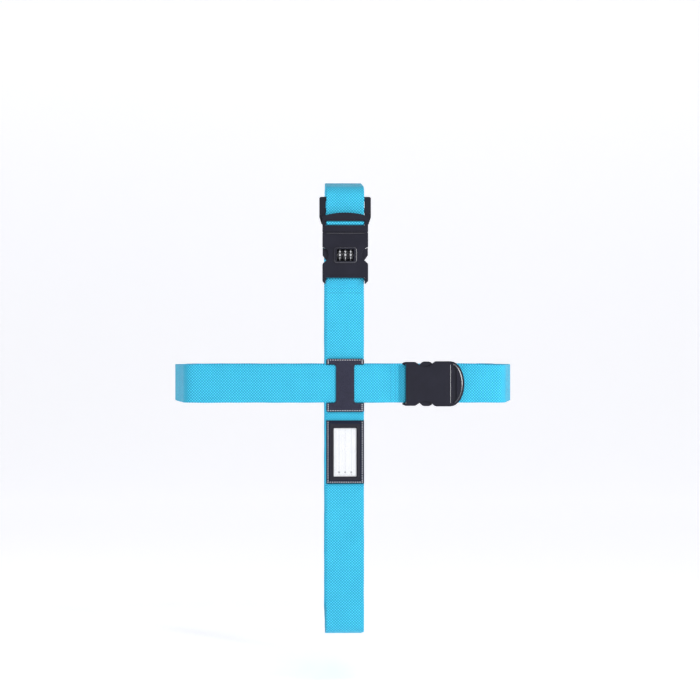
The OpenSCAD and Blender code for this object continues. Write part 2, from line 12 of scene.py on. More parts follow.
import bmesh
import bpy
import numpy as np
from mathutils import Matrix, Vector


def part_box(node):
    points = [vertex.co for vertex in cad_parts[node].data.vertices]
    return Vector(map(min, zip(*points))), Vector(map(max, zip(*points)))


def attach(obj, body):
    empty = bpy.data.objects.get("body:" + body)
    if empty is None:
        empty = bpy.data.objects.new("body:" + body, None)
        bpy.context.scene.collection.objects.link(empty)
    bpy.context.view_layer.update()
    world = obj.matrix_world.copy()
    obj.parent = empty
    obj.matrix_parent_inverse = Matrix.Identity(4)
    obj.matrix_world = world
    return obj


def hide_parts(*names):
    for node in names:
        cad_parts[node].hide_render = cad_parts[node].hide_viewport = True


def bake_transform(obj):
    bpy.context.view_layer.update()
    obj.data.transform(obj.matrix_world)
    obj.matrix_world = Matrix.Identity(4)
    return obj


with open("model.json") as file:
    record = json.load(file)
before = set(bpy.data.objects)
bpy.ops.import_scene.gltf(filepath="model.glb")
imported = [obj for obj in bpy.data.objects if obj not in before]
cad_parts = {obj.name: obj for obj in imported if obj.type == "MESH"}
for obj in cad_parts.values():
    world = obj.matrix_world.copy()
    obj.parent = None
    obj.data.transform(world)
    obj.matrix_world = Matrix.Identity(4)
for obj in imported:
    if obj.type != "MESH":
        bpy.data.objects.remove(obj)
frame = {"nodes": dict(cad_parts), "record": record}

mm = 0.001
front = np.array([0.0, -1.0, 0.0])
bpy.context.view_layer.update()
nodes = frame["nodes"]
scene = bpy.context.scene
scene.view_settings.view_transform = "Standard"

# %% [markdown]
# ## Camera
# The strap is seen almost square on, from two and a half metres, with a long lens: perspective is slight,
# and the loops' left side shows a little more than the right. The lens follows from the width to be seen:
# `sensor width * distance / view width`. A Track To constraint isn't needed, since the direction is a
# small turn.

# %% Camera
front_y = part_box("upright_webbing")[0][1]
view_distance = 2.5
view_width = 0.921
turn = radians(-1.4)
look_at = np.array([0.0063, front_y, 0.0805])

camera_data = bpy.data.cameras.new("camera")
camera_data.lens = camera_data.sensor_width * view_distance / view_width
camera = bpy.data.objects.new("camera", camera_data)
camera.location = look_at + view_distance * np.array([sin(turn), -cos(turn), 0])
camera.rotation_euler = (radians(90), 0, turn)
scene.collection.objects.link(camera)
scene.camera = camera
print("focal length", round(camera_data.lens, 1), "mm")

# %% [markdown]
# ## Surfaces on a grid
# Every new piece is a surface of two parameters: rows run along something, columns run across it. The
# faces of such a grid follow from its counts alone, so one helper makes them for all. `from_pydata` is
# slow on long lists, so the arrays go straight into the mesh with `foreach_set`.

# %% Helpers for meshes
def grid_faces(rows, cols, ring=True):
    """Quads of a grid. Each joins a point to the next along its row and to the two in the next row."""
    row, near = np.meshgrid(np.arange(rows - 1) * cols, np.arange(cols if ring else cols - 1), indexing="ij")
    far = (near + 1) % cols
    return np.stack([row + near, row + far, row + cols + far, row + cols + near], -1).reshape(-1, 4)


def end_caps(rows, cols):
    """The two faces that close a tube's first and last ring."""
    return [np.arange(cols)[::-1], np.arange(cols) + (rows - 1) * cols]


def make_piece(name, points, quads, material, body, caps=(), uv=None):
    """A mesh object from arrays: points, quads, and longer faces that close its ends."""
    loops = np.concatenate([quads.ravel(), *[np.asarray(cap) for cap in caps]]).astype(np.int32)
    totals = np.concatenate([np.full(len(quads), 4), [len(cap) for cap in caps]]).astype(np.int32)
    mesh = bpy.data.meshes.new(name)
    mesh.vertices.add(len(points))
    mesh.vertices.foreach_set("co", np.asarray(points, np.float32).ravel())
    mesh.loops.add(len(loops))
    mesh.loops.foreach_set("vertex_index", loops)
    mesh.polygons.add(len(totals))
    mesh.polygons.foreach_set("loop_start", np.concatenate([[0], np.cumsum(totals)[:-1]]).astype(np.int32))
    mesh.polygons.foreach_set("loop_total", totals)
    mesh.polygons.foreach_set("use_smooth", np.full(len(totals), True))
    if uv is not None:
        mesh.uv_layers.new(name="cloth").data.foreach_set("uv", uv[loops].astype(np.float32).ravel())
    mesh.update(calc_edges=True)
    mesh.validate()
    return dress(name, mesh, material, body)


def dress(name, mesh, material, body):
    """An object for a mesh, with its one material, that moves with a body, if one is named."""
    mesh.materials.clear()
    mesh.materials.append(material)
    piece = bpy.data.objects.new(name, mesh)
    scene.collection.objects.link(piece)
    if body:
        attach(piece, body)
    return piece


def face_outwards(piece):
    """Turns a closed mesh's faces outwards."""
    work = bmesh.new()
    work.from_mesh(piece.data)
    bmesh.ops.recalc_face_normals(work, faces=work.faces)
    work.to_mesh(piece.data)
    work.free()


# %% [markdown]
# ## Shader arithmetic
# A weave or a grain is a formula. Wiring it up by hand hides the formula, so a socket is wrapped in a
# small class whose operators add Math nodes: `1 - mask` reads as it works. Every other node comes from
# one method.

# %% Helpers for materials
def maths(operation):
    """A method that adds one Math node, fed with its object and its arguments in order."""
    def method(wire, *others):
        return wire.paint.node("Math", {"operation": operation}, dict(enumerate([wire, *others])))
    return method


class Wire:
    """A number, colour or vector that flows out of a shader node."""

    def __init__(self, paint, socket):
        self.paint = paint
        self.socket = socket

    __add__ = __radd__ = maths("ADD")
    __sub__ = maths("SUBTRACT")
    __mul__ = __rmul__ = maths("MULTIPLY")
    __truediv__ = maths("DIVIDE")
    __pow__ = maths("POWER")
    sine = maths("SINE")
    part = maths("FRACT")
    size = maths("ABSOLUTE")
    below = maths("LESS_THAN")
    most = maths("MAXIMUM")

    def __rsub__(self, other):
        return self * -1 + other

    def between(self, low, high):
        """0 up to low, 1 from high on, and a smooth rise between."""
        return self.paint.node("MapRange", {"interpolation_type": "SMOOTHSTEP"},
                               {"Value": self, "From Min": low, "From Max": high})


class Paint:
    """A material whose Principled shader takes fixed values at once and formulas as they are worked out."""

    def __init__(self, name, **fixed):
        self.material = bpy.data.materials.new(name)
        self.material.use_nodes = True
        self.tree = self.material.node_tree
        self.shader = self.tree.nodes["Principled BSDF"]
        self.feed(**fixed)

    def node(self, kind, settings=None, inputs=None, out=0):
        """Any node: its type, its settings, then the values or links of its sockets."""
        made = self.tree.nodes.new("ShaderNode" + kind)
        for key, value in (settings or {}).items():
            setattr(made, key, value)
        for key, value in (inputs or {}).items():
            self.put(made.inputs[key], value)
        return Wire(self, made.outputs[out])

    def put(self, socket, value):
        """Links a wire to a socket, or sets the socket's own value."""
        if isinstance(value, Wire):
            self.tree.links.new(value.socket, socket)
        else:
            socket.default_value = value

    def feed(self, **values):
        """Fills the Principled shader's sockets by their names."""
        for key, value in values.items():
            self.put(self.shader.inputs[key.replace("_", " ")], value)

    def place(self):
        """The object's own coordinates."""
        return self.node("TexCoord", out=3)

    def axes(self, vector):
        """A vector's three parts."""
        split = self.node("SeparateXYZ", None, {"Vector": vector})
        return [Wire(self, out) for out in split.socket.node.outputs]

    def noise(self, where, scale, detail=3.0, rough=0.55):
        inputs = {"Vector": where, "Scale": scale, "Detail": detail, "Roughness": rough}
        return self.node("TexNoise", None, inputs)

    def stretched(self, x, y=0.0):
        """Noise on coordinates that are scaled already, so it can be long one way and short the other."""
        return self.noise(self.node("CombineXYZ", None, {0: x, 1: y, 2: 0.0}), 1.0, 2.0)

    def edges(self, where, scale):
        """The distance to the nearest edge between Voronoi cells."""
        return self.node("TexVoronoi", {"feature": "DISTANCE_TO_EDGE"}, {"Vector": where, "Scale": scale})

    def mix(self, share, low, high):
        """The low colour where share is 0, the high one where it is 1."""
        mixed = self.tree.nodes.new("ShaderNodeMix")
        mixed.data_type = "RGBA"
        colours = [s for s in mixed.inputs if s.type == "RGBA"]
        self.put(mixed.inputs[0], share)
        for socket, value in zip(colours, (low, high)):
            self.put(socket, value if isinstance(value, Wire) else (*value, 1.0))
        return Wire(self, [s for s in mixed.outputs if s.type == "RGBA"][0])

    def bump(self, height, depth, strength=1.0):
        inputs = {"Height": height, "Distance": depth, "Strength": strength}
        self.feed(Normal=self.node("Bump", None, inputs))


# %% [markdown]
# ## Webbing finish
# Luggage webbing is polypropylene in a plain weave: warp yarns run along it and weft yarns across, and
# each passes over one and under the next. With u across and v along, `lobe = sin(u) * sin(v)` is a
# checker: where it is positive the warp is on top, elsewhere the weft. Both bulge by the root of its
# size, and the joints between them are low and dark. The warp is lighter, so the checker shows from afar,
# and fine strands run along whichever yarn is on top. u and v come from the strap's own UV map, so the
# weave follows every bend.

# %% Webbing
yarn_w = 1.85 * mm
float_l = 1.8 * mm
fine, coarse = 4200, 420

def woven(name, bright, deep):
    """Plain weave in two tones: warp on top where sin(u) * sin(v) is positive, weft elsewhere."""
    paint = Paint(name, Specular_IOR_Level=0.2, Sheen_Weight=0.1, Sheen_Roughness=0.4)
    across, along, _ = paint.axes(paint.node("UVMap", {"uv_map": "cloth"}))
    lobe = (across * (np.pi / yarn_w)).sine() * (along * (np.pi / float_l)).sine()
    warp = lobe.between(-0.10, 0.10)
    bulge = lobe.size() ** 0.5
    patches = paint.noise(paint.place(), 38.0, 2.0)
    warp_strands = paint.stretched(across * fine, along * coarse)
    weft_strands = paint.stretched(across * coarse, along * fine)
    strands = warp_strands * warp + weft_strands * (1 - warp)
    shade = (warp * 0.70 + 0.03) * (bulge * 0.35 + 0.65) + patches * 0.14 + strands * 0.22
    paint.feed(Base_Color=paint.mix(shade, deep, bright), Roughness=0.80 - bulge * 0.18 + patches * 0.08)
    paint.bump(bulge + warp * 0.35 + strands * 0.4, 0.28 * mm, 0.8)
    return paint.material

webbing_finish = woven("webbing", (0.082, 0.745, 0.955), (0.005, 0.165, 0.400))

def spun(name, colour, dark):
    """Sewing thread: a fine twist across each stitch, worked out on the object's own coordinates."""
    paint = Paint(name, Specular_IOR_Level=0.35)
    x, y, z = paint.axes(paint.place())
    twist = ((x + z) * 2600 + y * 900).part()
    paint.feed(Base_Color=paint.mix(twist.between(0.0, 0.7), dark, colour), Roughness=0.55 + twist * 0.2)
    paint.bump(twist, 0.06 * mm, 0.6)
    return paint.material

blue_thread = spun("webbing_thread", (0.018, 0.26, 0.50), (0.008, 0.12, 0.26))
white_thread = spun("white_thread", (0.80, 0.81, 0.85), (0.42, 0.44, 0.50))
print("webbing and thread finishes made")

# %% [markdown]
# ## Plastic, leather and metal finishes
# Moulded acetal has a fine spark-eroded texture, a satin face and a few rubbed places. Its raised lips
# are glossier, and their lighter colour is painted highlight. Leather is cells with creases between them,
# so the distance to the cells' edges makes its grain. The tag's leather has an inked border. Turned and
# drawn metal carry fine lines round or along the work.

# %% Plastic and leather
def moulded(name, colour, worn, gloss, texture, shine=0.36):
    """Moulded plastic: an even colour, lighter where it is rubbed, on a fine eroded texture."""
    paint = Paint(name, IOR=1.48, Specular_IOR_Level=shine)
    place = paint.place()
    patches = paint.noise(place, 55.0, 4.0)
    eroded = paint.noise(place, 1900.0, 2.0)
    rubs = paint.noise(place, 320.0, 5.0, 0.7).between(0.60, 0.78)
    paint.feed(Base_Color=paint.mix(rubs * 0.3 + patches * 0.5, colour, worn),
               Roughness=gloss + patches * 0.10 + eroded * 0.08 - rubs * 0.06)
    paint.bump(eroded, texture, 0.5)
    return paint.material

buckle_finish = moulded("buckle_plastic", (0.004, 0.004, 0.011), (0.015, 0.015, 0.032), 0.30, 0.05 * mm)
# The lips' colours are lighter than the buckle's. This is painted highlight, on top of their real gloss.
lip_highlight_finish = moulded("lip_plastic_painted_highlight", (0.014, 0.014, 0.024), (0.040, 0.040, 0.055), 0.13, 0.01 * mm, 0.7)
dial_finish = moulded("dial_plastic", (0.006, 0.006, 0.008), (0.015, 0.015, 0.02), 0.24, 0.02 * mm)
numeral_finish = moulded("numeral_paint", (0.82, 0.83, 0.85), (0.70, 0.71, 0.74), 0.42, 0.02 * mm)

def hide(name, colour, crease_colour, inked=None):
    """Leather. Inked is the rectangle that keeps its colour: half width, middle height and half height."""
    paint = Paint(name, IOR=1.45, Sheen_Weight=0.04, Specular_IOR_Level=0.3)
    place = paint.place()
    drift = paint.noise(place, 90.0, 3.0)
    crease = paint.edges(place, 1050.0).between(0.0, 0.22)
    pores = paint.noise(place, 2600.0, 2.0)
    skin = paint.mix(crease * 0.7 + drift * 0.4, crease_colour, colour)
    if inked:
        half_width, height, half_height = inked
        x, _, z = paint.axes(place)
        past = (x.size() - half_width).most((z - height).size() - half_height)
        skin = paint.mix(past.between(-0.6 * mm, 0.8 * mm), skin, (0.0015, 0.0050, 0.022))
    paint.feed(Base_Color=skin, Roughness=0.62 - crease * 0.16 + drift * 0.12)
    paint.bump(crease + pores * 0.3, 0.12 * mm, 0.7)
    return paint.material

tag_lo, tag_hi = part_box("tag_frame")
tag_middle = (tag_lo[2] + tag_hi[2]) / 2
leather_finish = hide("leather", (0.030, 0.030, 0.060), (0.008, 0.008, 0.018))
tag_finish = hide("tag_leather", (0.022, 0.020, 0.031), (0.005, 0.005, 0.010),
                  (tag_hi[0] - 5.2 * mm, tag_middle, (tag_hi[2] - tag_lo[2]) / 2 - 4.6 * mm))

# %% [markdown]
# ## Metal, film and card finishes
# Metal, clear film and card each need only a few lines. The film is almost invisible: its alpha is a low
# haze. The card's rules lie where `x / gap` is near a whole number.

# %% Metal, film and card
def metal(name, colour, lines_along, gloss):
    """Metal with fine lines square to one axis, and a faint stain."""
    paint = Paint(name, Metallic=1.0)
    place = paint.place()
    lines = paint.stretched(paint.axes(place)[lines_along] * 4000)
    stain = paint.noise(place, 240.0, 3.0)
    dark = tuple(0.6 * c for c in colour)
    paint.feed(Base_Color=paint.mix(0.45 + stain * 0.6, dark, colour), Roughness=gloss + lines * 0.15)
    paint.bump(lines, 0.01 * mm, 0.5)
    return paint.material

brass_finish = metal("turned_brass", (0.75, 0.58, 0.30), 0, 0.22)
# The cams are made nearly black. This is painted shade for the narrow gaps between the dials, where the cams
# show.
cam_shade_finish = metal("cam_metal_painted_shade", (0.030, 0.030, 0.034), 0, 0.42)
steel_finish = metal("plated_steel", (0.62, 0.62, 0.64), 2, 0.25)

def film():
    """Clear film: its alpha and roughness are low, and rise a little with the haze."""
    paint = Paint("clear_film", Base_Color=(0.9, 0.94, 1.0, 1.0), IOR=1.45)
    haze = paint.noise(paint.place(), 120.0, 3.0)
    paint.feed(Alpha=0.05 + haze * 0.06, Roughness=0.06 + haze * 0.08)
    return paint.material

def printed_card(rule_gap, foot):
    """White card with three grey rules up it, and a dark square across each rule near the card's foot."""
    paint = Paint("card", Specular_IOR_Level=0.3)
    place = paint.place()
    x, _, z = paint.axes(place)
    steps = x / rule_gap
    off_line = ((steps + 0.5).part() - 0.5).size() * rule_gap
    outer = 1 - steps.size().between(1.4, 1.6)
    rules = off_line.below(0.28 * mm) * outer
    squares = off_line.below(1.0 * mm) * (z - foot).size().below(0.9 * mm) * outer
    fibre = paint.noise(place, 900.0, 4.0)
    ink = (rules * 0.30).most(squares * 0.85)
    white = paint.mix(fibre, (0.74, 0.74, 0.745), (0.82, 0.82, 0.825))
    paint.feed(Base_Color=paint.mix(ink, white, (0.10, 0.10, 0.12)), Roughness=0.62 + fibre * 0.2)
    paint.bump(fibre, 0.02 * mm, 0.3)
    return paint.material

film_finish = film()
card_finish = printed_card(8.0 * mm, tag_lo[2] + 15.2 * mm)
print("finishes:", len(bpy.data.materials))

# %% [markdown]
# ## The strap's paths
# Webbing on a case is a band carried along a path: flat on the face, round the case's edge, over its rim,
# and round the bars of its buckle. Each path lies in one plane, so it is a list of flat points: how far
# along the strap's direction, and how far from the case's middle. Arcs are worked out, straight runs are
# only their ends, and even spacing plus a little smoothing turns the corners into soft bends.

# %% Sizes that the paths share
case_w, case_h, case_d = 462 * mm, 621 * mm, 264 * mm
edge_r, rim_r, lean = 12 * mm, 80 * mm, radians(9)
web_w, web_t = 50 * mm, 1.5 * mm
layer = web_t + 0.2 * mm
face = case_d / 2
first = web_t / 2
second = first + layer
level_lift = web_t + 0.3 * mm
level_run = level_lift + first
level_z = 36 * mm
bar_wrap = 1.8 * mm + 0.3 * mm + first
wrap_out = bar_wrap + first
turn_back, ramp = 21.3 * mm, 9 * mm
release_x, release_l = 79.9 * mm, 60 * mm
combo_z, combo_l = case_h / 2 - 135 * mm, 59.5 * mm
combo_load = first + web_t + 1.8 * mm + 0.2 * mm + 0.35 * mm
sewn_bar = np.array([-2 * mm, wrap_out + 1.4 * mm])
release_bar = np.array([release_l + 4.3 * mm, level_run + bar_wrap + 0.5 * mm])
combo_bar = np.array([combo_l + 12.3 * mm, combo_load + bar_wrap + 1.55 * mm])
tight_r = 1.6 * mm
tail_lap = 12 * mm
joint_in = 3 * mm

# %% [markdown]
# ## Bends and tangents
# An arc is enough for every bend, and a tangent joins a straight run to the arc round a bar without a
# kink. The angle at which a line from a point touches a circle is the angle to the point, plus or minus
# `arccos(radius / distance)`.

# %% Path functions
def arc(centre, radius, start, stop, step=radians(6)):
    """Points at a radius from a centre, from one angle to another."""
    a = np.linspace(start, stop, max(3, ceil(abs(stop - start) / step) + 1))[:, None]
    return np.asarray(centre) + radius * np.hstack([np.cos(a), np.sin(a)])


def flat_half(half, deep):
    """Half the length of the case's flat face, where its rounded edge begins."""
    return half - rim_r + (rim_r - edge_r - (deep - edge_r) * sin(lean)) / cos(lean)


def round_edge(half, deep, off, side, way):
    """An arc from the leaning side (at the lean) round to the flat face (at a right angle)."""
    bend = arc((flat_half(half, deep), deep - edge_r), edge_r + off, lean, radians(90))
    return bend * (side, way)


def over_rim(half, off, side):
    """A shallow arc over the rim, from the front's lean to the back's."""
    return arc((half - rim_r, 0), rim_r + off, -lean, lean) * (side, 1)


def touch(start, centre, radius, side):
    """The angle on a circle where a line from a point just touches it."""
    to = np.asarray(start) - centre
    return np.arctan2(to[1], to[0]) + side * np.arccos(radius / np.hypot(*to))


def sewn_end(run):
    """The turned-back layer, the loop round the sewn bar, and the run out over the turned-back layer."""
    under, over = (-ramp, run - layer), (-ramp, run)
    low = touch(under, sewn_bar, bar_wrap, 1)
    high = touch(over, sewn_bar, bar_wrap, -1) + radians(360)
    return np.vstack([[(-turn_back, run - layer), under], arc(sewn_bar, bar_wrap, low, high), [over]])


def ladder(bar, load, tail):
    """In along the loaded layer, up round the bar, and down into the tail."""
    lift = arc((bar[0] + bar_wrap + tight_r, load + tight_r), tight_r, radians(-90), radians(-180))
    drop = arc((bar[0] - bar_wrap + tight_r, tail + tight_r), tight_r, radians(180), radians(270))
    return np.vstack([lift, arc(bar, bar_wrap, 0, radians(180)), drop])


def placed(points, along):
    """A buckle's own points, moved to where the buckle lies on the case's front."""
    return np.array([along, -face]) + np.asarray(points) * (1, -1)


def evenly(points, step, passes=2):
    """The same line at equal steps, with each point then moved half way to its neighbours' middle."""
    run = np.concatenate([[0], np.cumsum(np.hypot(*np.diff(points, axis=0).T))])
    at = np.linspace(0, run[-1], ceil(run[-1] / step) + 1)
    line = np.stack([np.interp(at, run, points[:, 0]), np.interp(at, run, points[:, 1])], -1)
    for _ in range(passes):
        line[1:-1] = (line[:-2] + 2 * line[1:-1] + line[2:]) / 4
    return line


# %% [markdown]
# ## The four lengths
# Each loop is two lengths that meet on the case's back: one ends sewn round its socket's bar, the other
# passes over the top or the right side, up through its plug's ladder lock and back under itself as a
# tail.

# %% The four paths
level_half, upright_half = case_w / 2, case_h / 2
level_face = face + level_lift
level_flat = flat_half(level_half, level_face)
upright_flat = flat_half(upright_half, face)
level_join = [(level_flat - joint_in, level_face + first)]
upright_join = [(upright_flat - joint_in, face + first)]

level_path = np.vstack([
    placed(sewn_end(level_run), release_x),
    round_edge(level_half, level_face, first, -1, -1)[::-1], over_rim(level_half, first, -1),
    round_edge(level_half, level_face, first, -1, 1), level_join])
level_right_path = np.vstack([
    level_join,
    round_edge(level_half, level_face, first, 1, 1)[::-1], over_rim(level_half, first, 1)[::-1],
    round_edge(level_half, level_face, first, 1, -1),
    placed(ladder(release_bar, level_run, level_run - layer), release_x),
    [(level_flat - 4 * mm, -face - level_run + layer)]])
upright_path = np.vstack([
    placed(sewn_end(second), combo_z),
    placed([(-turn_back - 3 * mm, second), (-turn_back - 12 * mm, first)], combo_z),
    round_edge(upright_half, face, first, -1, -1)[::-1], over_rim(upright_half, first, -1),
    round_edge(upright_half, face, first, -1, 1), upright_join])
top_edge = round_edge(upright_half, face, first, 1, -1)[::-1]
to_rim = over_rim(upright_half, first, 1)[0] - top_edge[-1]
upright_top_path = np.vstack([
    upright_join,
    round_edge(upright_half, face, first, 1, 1)[::-1], over_rim(upright_half, first, 1)[::-1],
    round_edge(upright_half, face, combo_load, 1, -1),
    placed(ladder(combo_bar, combo_load, first), combo_z),
    top_edge, [top_edge[-1] + tail_lap * to_rim / np.hypot(*to_rim)]])

# %% [markdown]
# ## The strap itself
# A woven band isn't a sharp-edged plate. Its edges are round where the weft turns back, and the selvedge
# just inside them is a hair thicker. The cross-section is that outline, and it is carried along the path:
# each point stands off the path by its height, along the path's own left-hand side. Solidify would give
# sharp corners, so the closed section is drawn instead.

# %% Webbing along a path
row_step = 1.4 * mm
face_cols, edge_cols = 19, 5

def band_section():
    """Across and height round the band: out along its face, round one edge, back, and round the other."""
    reach = web_w / 2 - first
    across = reach * np.sin(np.linspace(-1, 1, face_cols) * np.pi / 2)
    selvedge = 0.10 * mm * np.exp(-((np.abs(across) - reach + 0.9 * mm) / (0.7 * mm)) ** 2)
    edge = arc((reach, 0), first, radians(90), radians(-90), radians(180) / (edge_cols + 1))[1:-1]
    outer = np.stack([across, first + selvedge], -1)
    return np.vstack([outer, edge, -outer, -edge])


def webbing(name, path, body, upright):
    """point = path + height * left side of the path, and across is the strap's own width direction."""
    line = evenly(path, row_step)
    ahead = np.gradient(line, axis=0)
    ahead /= np.hypot(*ahead.T)[:, None]
    left = np.stack([-ahead[:, 1], ahead[:, 0]], -1)
    section = band_section()
    run = np.concatenate([[0], np.cumsum(np.hypot(*np.diff(line, axis=0).T))])
    drift = 0.09 * mm * (np.sin(run * 61) + np.sin(run * 143 + 1.3))
    flat = line[:, None, :] + left[:, None, :] * section[None, :, 1:]
    across = section[None, :, 0] + drift[:, None]
    if upright:
        points = np.stack([-across, flat[..., 1], flat[..., 0]], -1)
    else:
        points = np.stack([flat[..., 0], flat[..., 1], level_z + across], -1)
    rows, cols = len(line), len(section)
    uv = np.stack(np.broadcast_arrays(section[None, :, 0], run[:, None]), -1)
    piece = make_piece(name, points.reshape(-1, 3), grid_faces(rows, cols), webbing_finish, body,
                       caps=end_caps(rows, cols), uv=uv.reshape(-1, 2) + 1)
    face_outwards(piece)
    print(name, "is", round(run[-1] / mm), "mm long")
    return piece, float(run[-1])

level_strap, level_length = webbing("level_strap", level_path, "level_loop", False)
level_slack, level_slack_length = webbing("level_strap_right", level_right_path, None, False)
upright_strap, upright_length = webbing("upright_strap", upright_path, "upright_loop", True)
upright_slack, upright_slack_length = webbing("upright_strap_top", upright_top_path, None, True)

for strap, node in ((level_strap, "level_webbing"), (level_slack, "level_webbing_right"),
                    (upright_strap, "upright_webbing"), (upright_slack, "upright_webbing_top")):
    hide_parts(node)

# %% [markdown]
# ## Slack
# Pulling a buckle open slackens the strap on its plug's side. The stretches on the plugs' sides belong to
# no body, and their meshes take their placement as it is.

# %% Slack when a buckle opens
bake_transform(level_slack)
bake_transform(upright_slack)

# %% [markdown]
# ## Stitches
# A lockstitch shows as a row of short threads, each pulled into the material at its ends. One stitch is a
# spindle: a ring of points whose radius follows a half ellipse along it. All stitches of a seam are the
# same spindle set at equal steps along a line, so the whole seam is one array sum.

# %% Rows of stitches
def stitch_rows(name, rows, material, body, pitch, length, width):
    """Spindles of the given length and width at each pitch along each row, on a face that looks forwards."""
    rings, around = 6, 6
    t = np.linspace(-1, 1, rings)[:, None]
    a = np.arange(around)[None, :] * 2 * np.pi / around
    girth = np.sqrt(1 - (0.93 * t) ** 2) * width / 2
    one = grid_faces(rings, around)
    points, quads, caps = [], [], []
    for start, stop in rows:
        start, stop = np.asarray(start, float), np.asarray(stop, float)
        reach = np.linalg.norm(stop - start)
        along = (stop - start) / reach
        beside = np.cross(front, along)
        spindle = (t * length / 2)[..., None] * along + (girth * np.cos(a))[..., None] * beside \
            + (girth * np.sin(a))[..., None] * front
        for at in np.linspace(0, reach, max(2, round(reach / pitch) + 1)):
            base = len(points) * rings * around
            points.append((spindle + start + along * at).reshape(-1, 3))
            quads.append(one + base)
            caps += [cap + base for cap in end_caps(rings, around)]
    piece = make_piece(name, np.vstack(points), np.vstack(quads), material, body, caps=caps)
    face_outwards(piece)
    print(name, "has", len(points), "stitches")
    return piece

# %% [markdown]
# ## Where the seams run
# The webbing's own seams are fine and blue, two rows across each sewn end. The leather's are thick and
# white, and run a set way in from its edges.

# %% The four seams
half_seam = web_w / 2 - 3 * mm
seam_at = (-turn_back + 1.5 * mm, -turn_back + 8 * mm)

def across_level(x):
    """The ends of a seam that runs up the level strap, at x along its sewn end."""
    y = -face - level_run - first
    return (release_x + x, y, level_z - half_seam), (release_x + x, y, level_z + half_seam)


def across_upright(z):
    """The ends of a seam that runs across the upright strap, at z along its sewn end."""
    y = -face - second - first
    return (-half_seam, y, combo_z + z), (half_seam, y, combo_z + z)

blue = {"material": blue_thread, "pitch": 2.7 * mm, "length": 2.0 * mm, "width": 0.5 * mm}
white = {"material": white_thread, "pitch": 3.1 * mm, "length": 1.8 * mm, "width": 1.15 * mm}
level_rows = [across_level(x) for x in seam_at]
upright_rows = [across_upright(z) for z in seam_at]
level_seam = stitch_rows("level_seam_thread", level_rows, body="level_loop", **blue)
upright_seam = stitch_rows("upright_seam_thread", upright_rows, body="upright_loop", **blue)

keeper_lo, keeper_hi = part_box("cross_keeper")
edge_in, stitch_in, corner_gap = 2.6 * mm, 1.8 * mm, 2.4 * mm
band_low, band_top = 10.4 * mm, 61.6 * mm
keeper_x, keeper_y = keeper_hi[0] - edge_in, keeper_lo[1]
keeper_rows = []
for edge, inner, inwards in ((keeper_hi[2] - stitch_in, band_top + stitch_in, -1),
                             (keeper_lo[2] + stitch_in, band_low - stitch_in, 1)):
    keeper_rows.append(((-keeper_x, keeper_y, edge), (keeper_x, keeper_y, edge)))
    for x in (-keeper_x, keeper_x):
        keeper_rows.append(((x, keeper_y, edge + inwards * corner_gap), (x, keeper_y, inner)))
keeper_thread = stitch_rows("keeper_stitches", keeper_rows, body="upright_loop", **white)

side_in, foot_in, top_in = 2.4 * mm, 2.2 * mm, 2.5 * mm
tag_x, tag_y, tag_foot, tag_top = tag_hi[0] - side_in, tag_lo[1], tag_lo[2] + foot_in, tag_hi[2] - top_in
tag_rows = [((x, tag_y, tag_foot + corner_gap), (x, tag_y, tag_top)) for x in (-tag_x, tag_x)]
tag_rows.append(((-tag_x, tag_y, tag_foot), (tag_x, tag_y, tag_foot)))
tag_thread = stitch_rows("tag_stitches", tag_rows, body="upright_loop", **white)

for piece, node, slot in ((level_seam, "level_seam", "webbing_thread"),
                          (upright_seam, "upright_seam", "webbing_thread"),
                          (keeper_thread, "cross_keeper_stitching", "white_thread"),
                          (tag_thread, "tag_stitching", "white_thread")):
    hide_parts(node)

# %% [markdown]

# %% [markdown]
# ## Moulded and cut parts
# The buckles' halves already have their true shape, but a mould never leaves a knife edge. A copy of each
# part is merged, its flat faces joined up, its outline's corners rounded, and a Bevel modifier rounds the
# edges. Weighted normals keep the large faces flat in the light. The copy then stands for the part.
# Bevelling the loose triangles directly would round every triangle's side. Where a part has very short
# sides, the bevel is clamped to what they leave room for.

# %% Rounded copies of the model's parts
def body_of(node):
    """The body that a part of the model belongs to."""
    return next(body for body, names in frame["record"]["behaviour"]["bodies"].items() if node in names)


def middle(edge):
    """The point half way along an edge."""
    return (edge.verts[0].co + edge.verts[1].co) / 2


def is_corner(edge):
    """An outward corner of the part's outline: an edge that runs front to back where two sides meet."""
    run = edge.verts[1].co - edge.verts[0].co
    return edge.is_manifold and edge.is_convex and abs(run.y) > max(3 * mm, 0.999 * run.length) \
        and radians(25) < edge.calc_face_angle() < radians(100)


def has_room(edge, width):
    """Whether the sides that meet at a corner are all long enough to be cut back by the width."""
    sides = {side for end in edge.verts for side in end.link_edges}
    return all(side.calc_length() > 2.4 * width for side in sides - {edge})


def soften(work, width):
    """Rounds the outline's corners one by one, wherever their sides have room for it."""
    for place in [middle(edge) for edge in work.edges if is_corner(edge) and has_room(edge, width)]:
        edge = min(work.edges, key=lambda other: (middle(other) - place).length)
        bmesh.ops.bevel(work, geom=[edge], offset=width, offset_type="OFFSET", segments=4, profile=0.5,
                        affect="EDGES", clamp_overlap=True)


